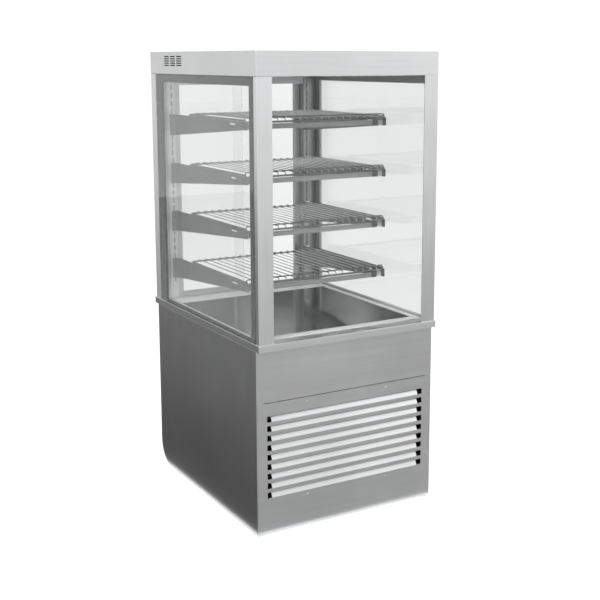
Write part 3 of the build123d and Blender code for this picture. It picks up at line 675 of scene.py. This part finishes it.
def seenRays(tree):
    # 1 for sight, for mirror reflections and for sight through glass
    rays = tree.nodes.new("ShaderNodeLightPath")
    sightOrGloss = tree.nodes.new("ShaderNodeMath")
    sightOrGloss.operation = "MAXIMUM"
    tree.links.new(rays.outputs["Is Camera Ray"], sightOrGloss.inputs[0])
    tree.links.new(rays.outputs["Is Glossy Ray"], sightOrGloss.inputs[1])
    everySight = tree.nodes.new("ShaderNodeMath")
    everySight.operation = "MAXIMUM"
    tree.links.new(sightOrGloss.outputs[0], everySight.inputs[0])
    tree.links.new(rays.outputs["Is Transmission Ray"], everySight.inputs[1])
    return everySight.outputs[0]


def studioFloor():
    size = stageSizes
    bm = bmesh.new()
    bmesh.ops.create_grid(bm, x_segments=1, y_segments=1, size=size["floorHalf"])
    mesh = bpy.data.meshes.new("studioFloor")
    bm.to_mesh(mesh)
    bm.free()
    floor = bpy.data.objects.new("studioFloor", mesh)
    bpy.context.scene.collection.objects.link(floor)
    material, shader = newMaterial("studioFloor", size["floorRoughness"], 0.0, size["floorColour"])
    shader.inputs["Specular IOR Level"].default_value = 0.0
    tree = material.node_tree
    lift = tree.nodes.new("ShaderNodeEmission")
    lift.inputs["Color"].default_value = (1, 1, 1, 1)
    amount = tree.nodes.new("ShaderNodeMath")
    amount.operation = "MULTIPLY"
    amount.inputs[1].default_value = size["whiteLift"]
    tree.links.new(seenRays(tree), amount.inputs[0])
    tree.links.new(amount.outputs[0], lift.inputs["Strength"])
    total = tree.nodes.new("ShaderNodeAddShader")
    tree.links.new(shader.outputs["BSDF"], total.inputs[0])
    tree.links.new(lift.outputs["Emission"], total.inputs[1])
    tree.links.new(total.outputs["Shader"], tree.nodes["Material Output"].inputs["Surface"])
    mesh.materials.append(material)


def studioWorld():
    world = bpy.data.worlds.new("studioWorld")
    bpy.context.scene.world = world
    world.use_nodes = True
    tree = world.node_tree
    background = tree.nodes["Background"]
    background.inputs["Color"].default_value = (1, 1, 1, 1)
    level = tree.nodes.new("ShaderNodeMapRange")
    level.inputs["To Min"].default_value = stageSizes["worldLight"]
    level.inputs["To Max"].default_value = stageSizes["worldSeen"]
    tree.links.new(seenRays(tree), level.inputs["Value"])
    tree.links.new(level.outputs["Result"], background.inputs["Strength"])


def softbox(name, place, width, strength):
    lamp = bpy.data.lights.new(name, "AREA")
    lamp.shape = "RECTANGLE"
    lamp.size = lamp.size_y = width
    lamp.energy = strength
    holder = bpy.data.objects.new(name, lamp)
    bpy.context.scene.collection.objects.link(holder)
    holder.location = place
    aim = Vector(stageSizes["lampAim"]) - Vector(place)
    holder.rotation_euler = aim.to_track_quat("-Z", "Y").to_euler()


def reflectionCard(name, corners, grey, throughGlass):
    # a dark cloth that only mirror reflections meet
    # throughGlass lets the reflections that leave through a pane meet it too
    bm = bmesh.new()
    bm.faces.new([bm.verts.new(c) for c in corners])
    bmesh.ops.recalc_face_normals(bm, faces=bm.faces)
    mesh = bpy.data.meshes.new(name)
    bm.to_mesh(mesh)
    bm.free()
    card = bpy.data.objects.new(name, mesh)
    bpy.context.scene.collection.objects.link(card)
    material, shader = newMaterial(name, 1.0, 0.0, (grey, grey, grey))
    shader.inputs["Specular IOR Level"].default_value = 0.0
    mesh.materials.append(material)
    card.visible_camera = False
    card.visible_shadow = False
    card.visible_diffuse = False
    card.visible_transmission = throughGlass


cardHeight = 0.004           # m above the floor


def floorCard(x0, y0, x1, y1):
    return [(x0, y0, cardHeight), (x1, y0, cardHeight), (x1, y1, cardHeight), (x0, y1, cardHeight)]


cards = {
    # grey, throughGlass and corners in metres
    "sideCardNear": (0.07, False, floorCard(-0.75, -0.37, -0.31, 4.5)),
    "sideCardFar": (0.17, False, floorCard(-6, -0.37, -0.75, 7)),
    "frontCard": (0.44, False, floorCard(-4.5, -4.5, 4.5, -0.37)),
    # stands above the photograph's lines of sight through the panes, for the steel inside to mirror
    "farCard": (0.05, True, [(-2, 6, 1.36), (9, 6, 1.36), (9, 6, 3.3), (4.5, 6, 3.3), (4.2, 6, 2.35),
                             (2.9, 6, 2.35), (2.7, 6, 3.1), (-2, 6, 3.1)]),
}

studioFloor()
studioWorld()
for name, (place, width, strength) in studioLamps.items():
    softbox(name, place, width, strength)
for name, (grey, throughGlass, corners) in cards.items():
    reflectionCard(name, corners, grey, throughGlass)

print("floor, light and cards made")

cameraFacts = {
    "place": (-1.6176, -2.9450, 1.3420),
    "turn": 30.646,          # degrees to the right of straight at the back
    "dip": 9.968,            # degrees below level
    "lens": 65.10,
    "sensor": 36,
    "shift": (-0.0387, -0.0833),
    "nearest": 0.05,         # m
    "farthest": 100,
}

cameraData = bpy.data.cameras.new("camera")
camera = bpy.data.objects.new("camera", cameraData)
bpy.context.scene.collection.objects.link(camera)
camera.location = cameraFacts["place"]
camera.rotation_euler = (radians(90 - cameraFacts["dip"]), 0, -radians(cameraFacts["turn"]))
cameraData.lens = cameraFacts["lens"]
cameraData.sensor_width = cameraFacts["sensor"]
cameraData.shift_x, cameraData.shift_y = cameraFacts["shift"]
cameraData.clip_start, cameraData.clip_end = cameraFacts["nearest"], cameraFacts["farthest"]
bpy.context.scene.camera = camera
bpy.context.scene.view_settings.view_transform = "Standard"

print("scene ready")
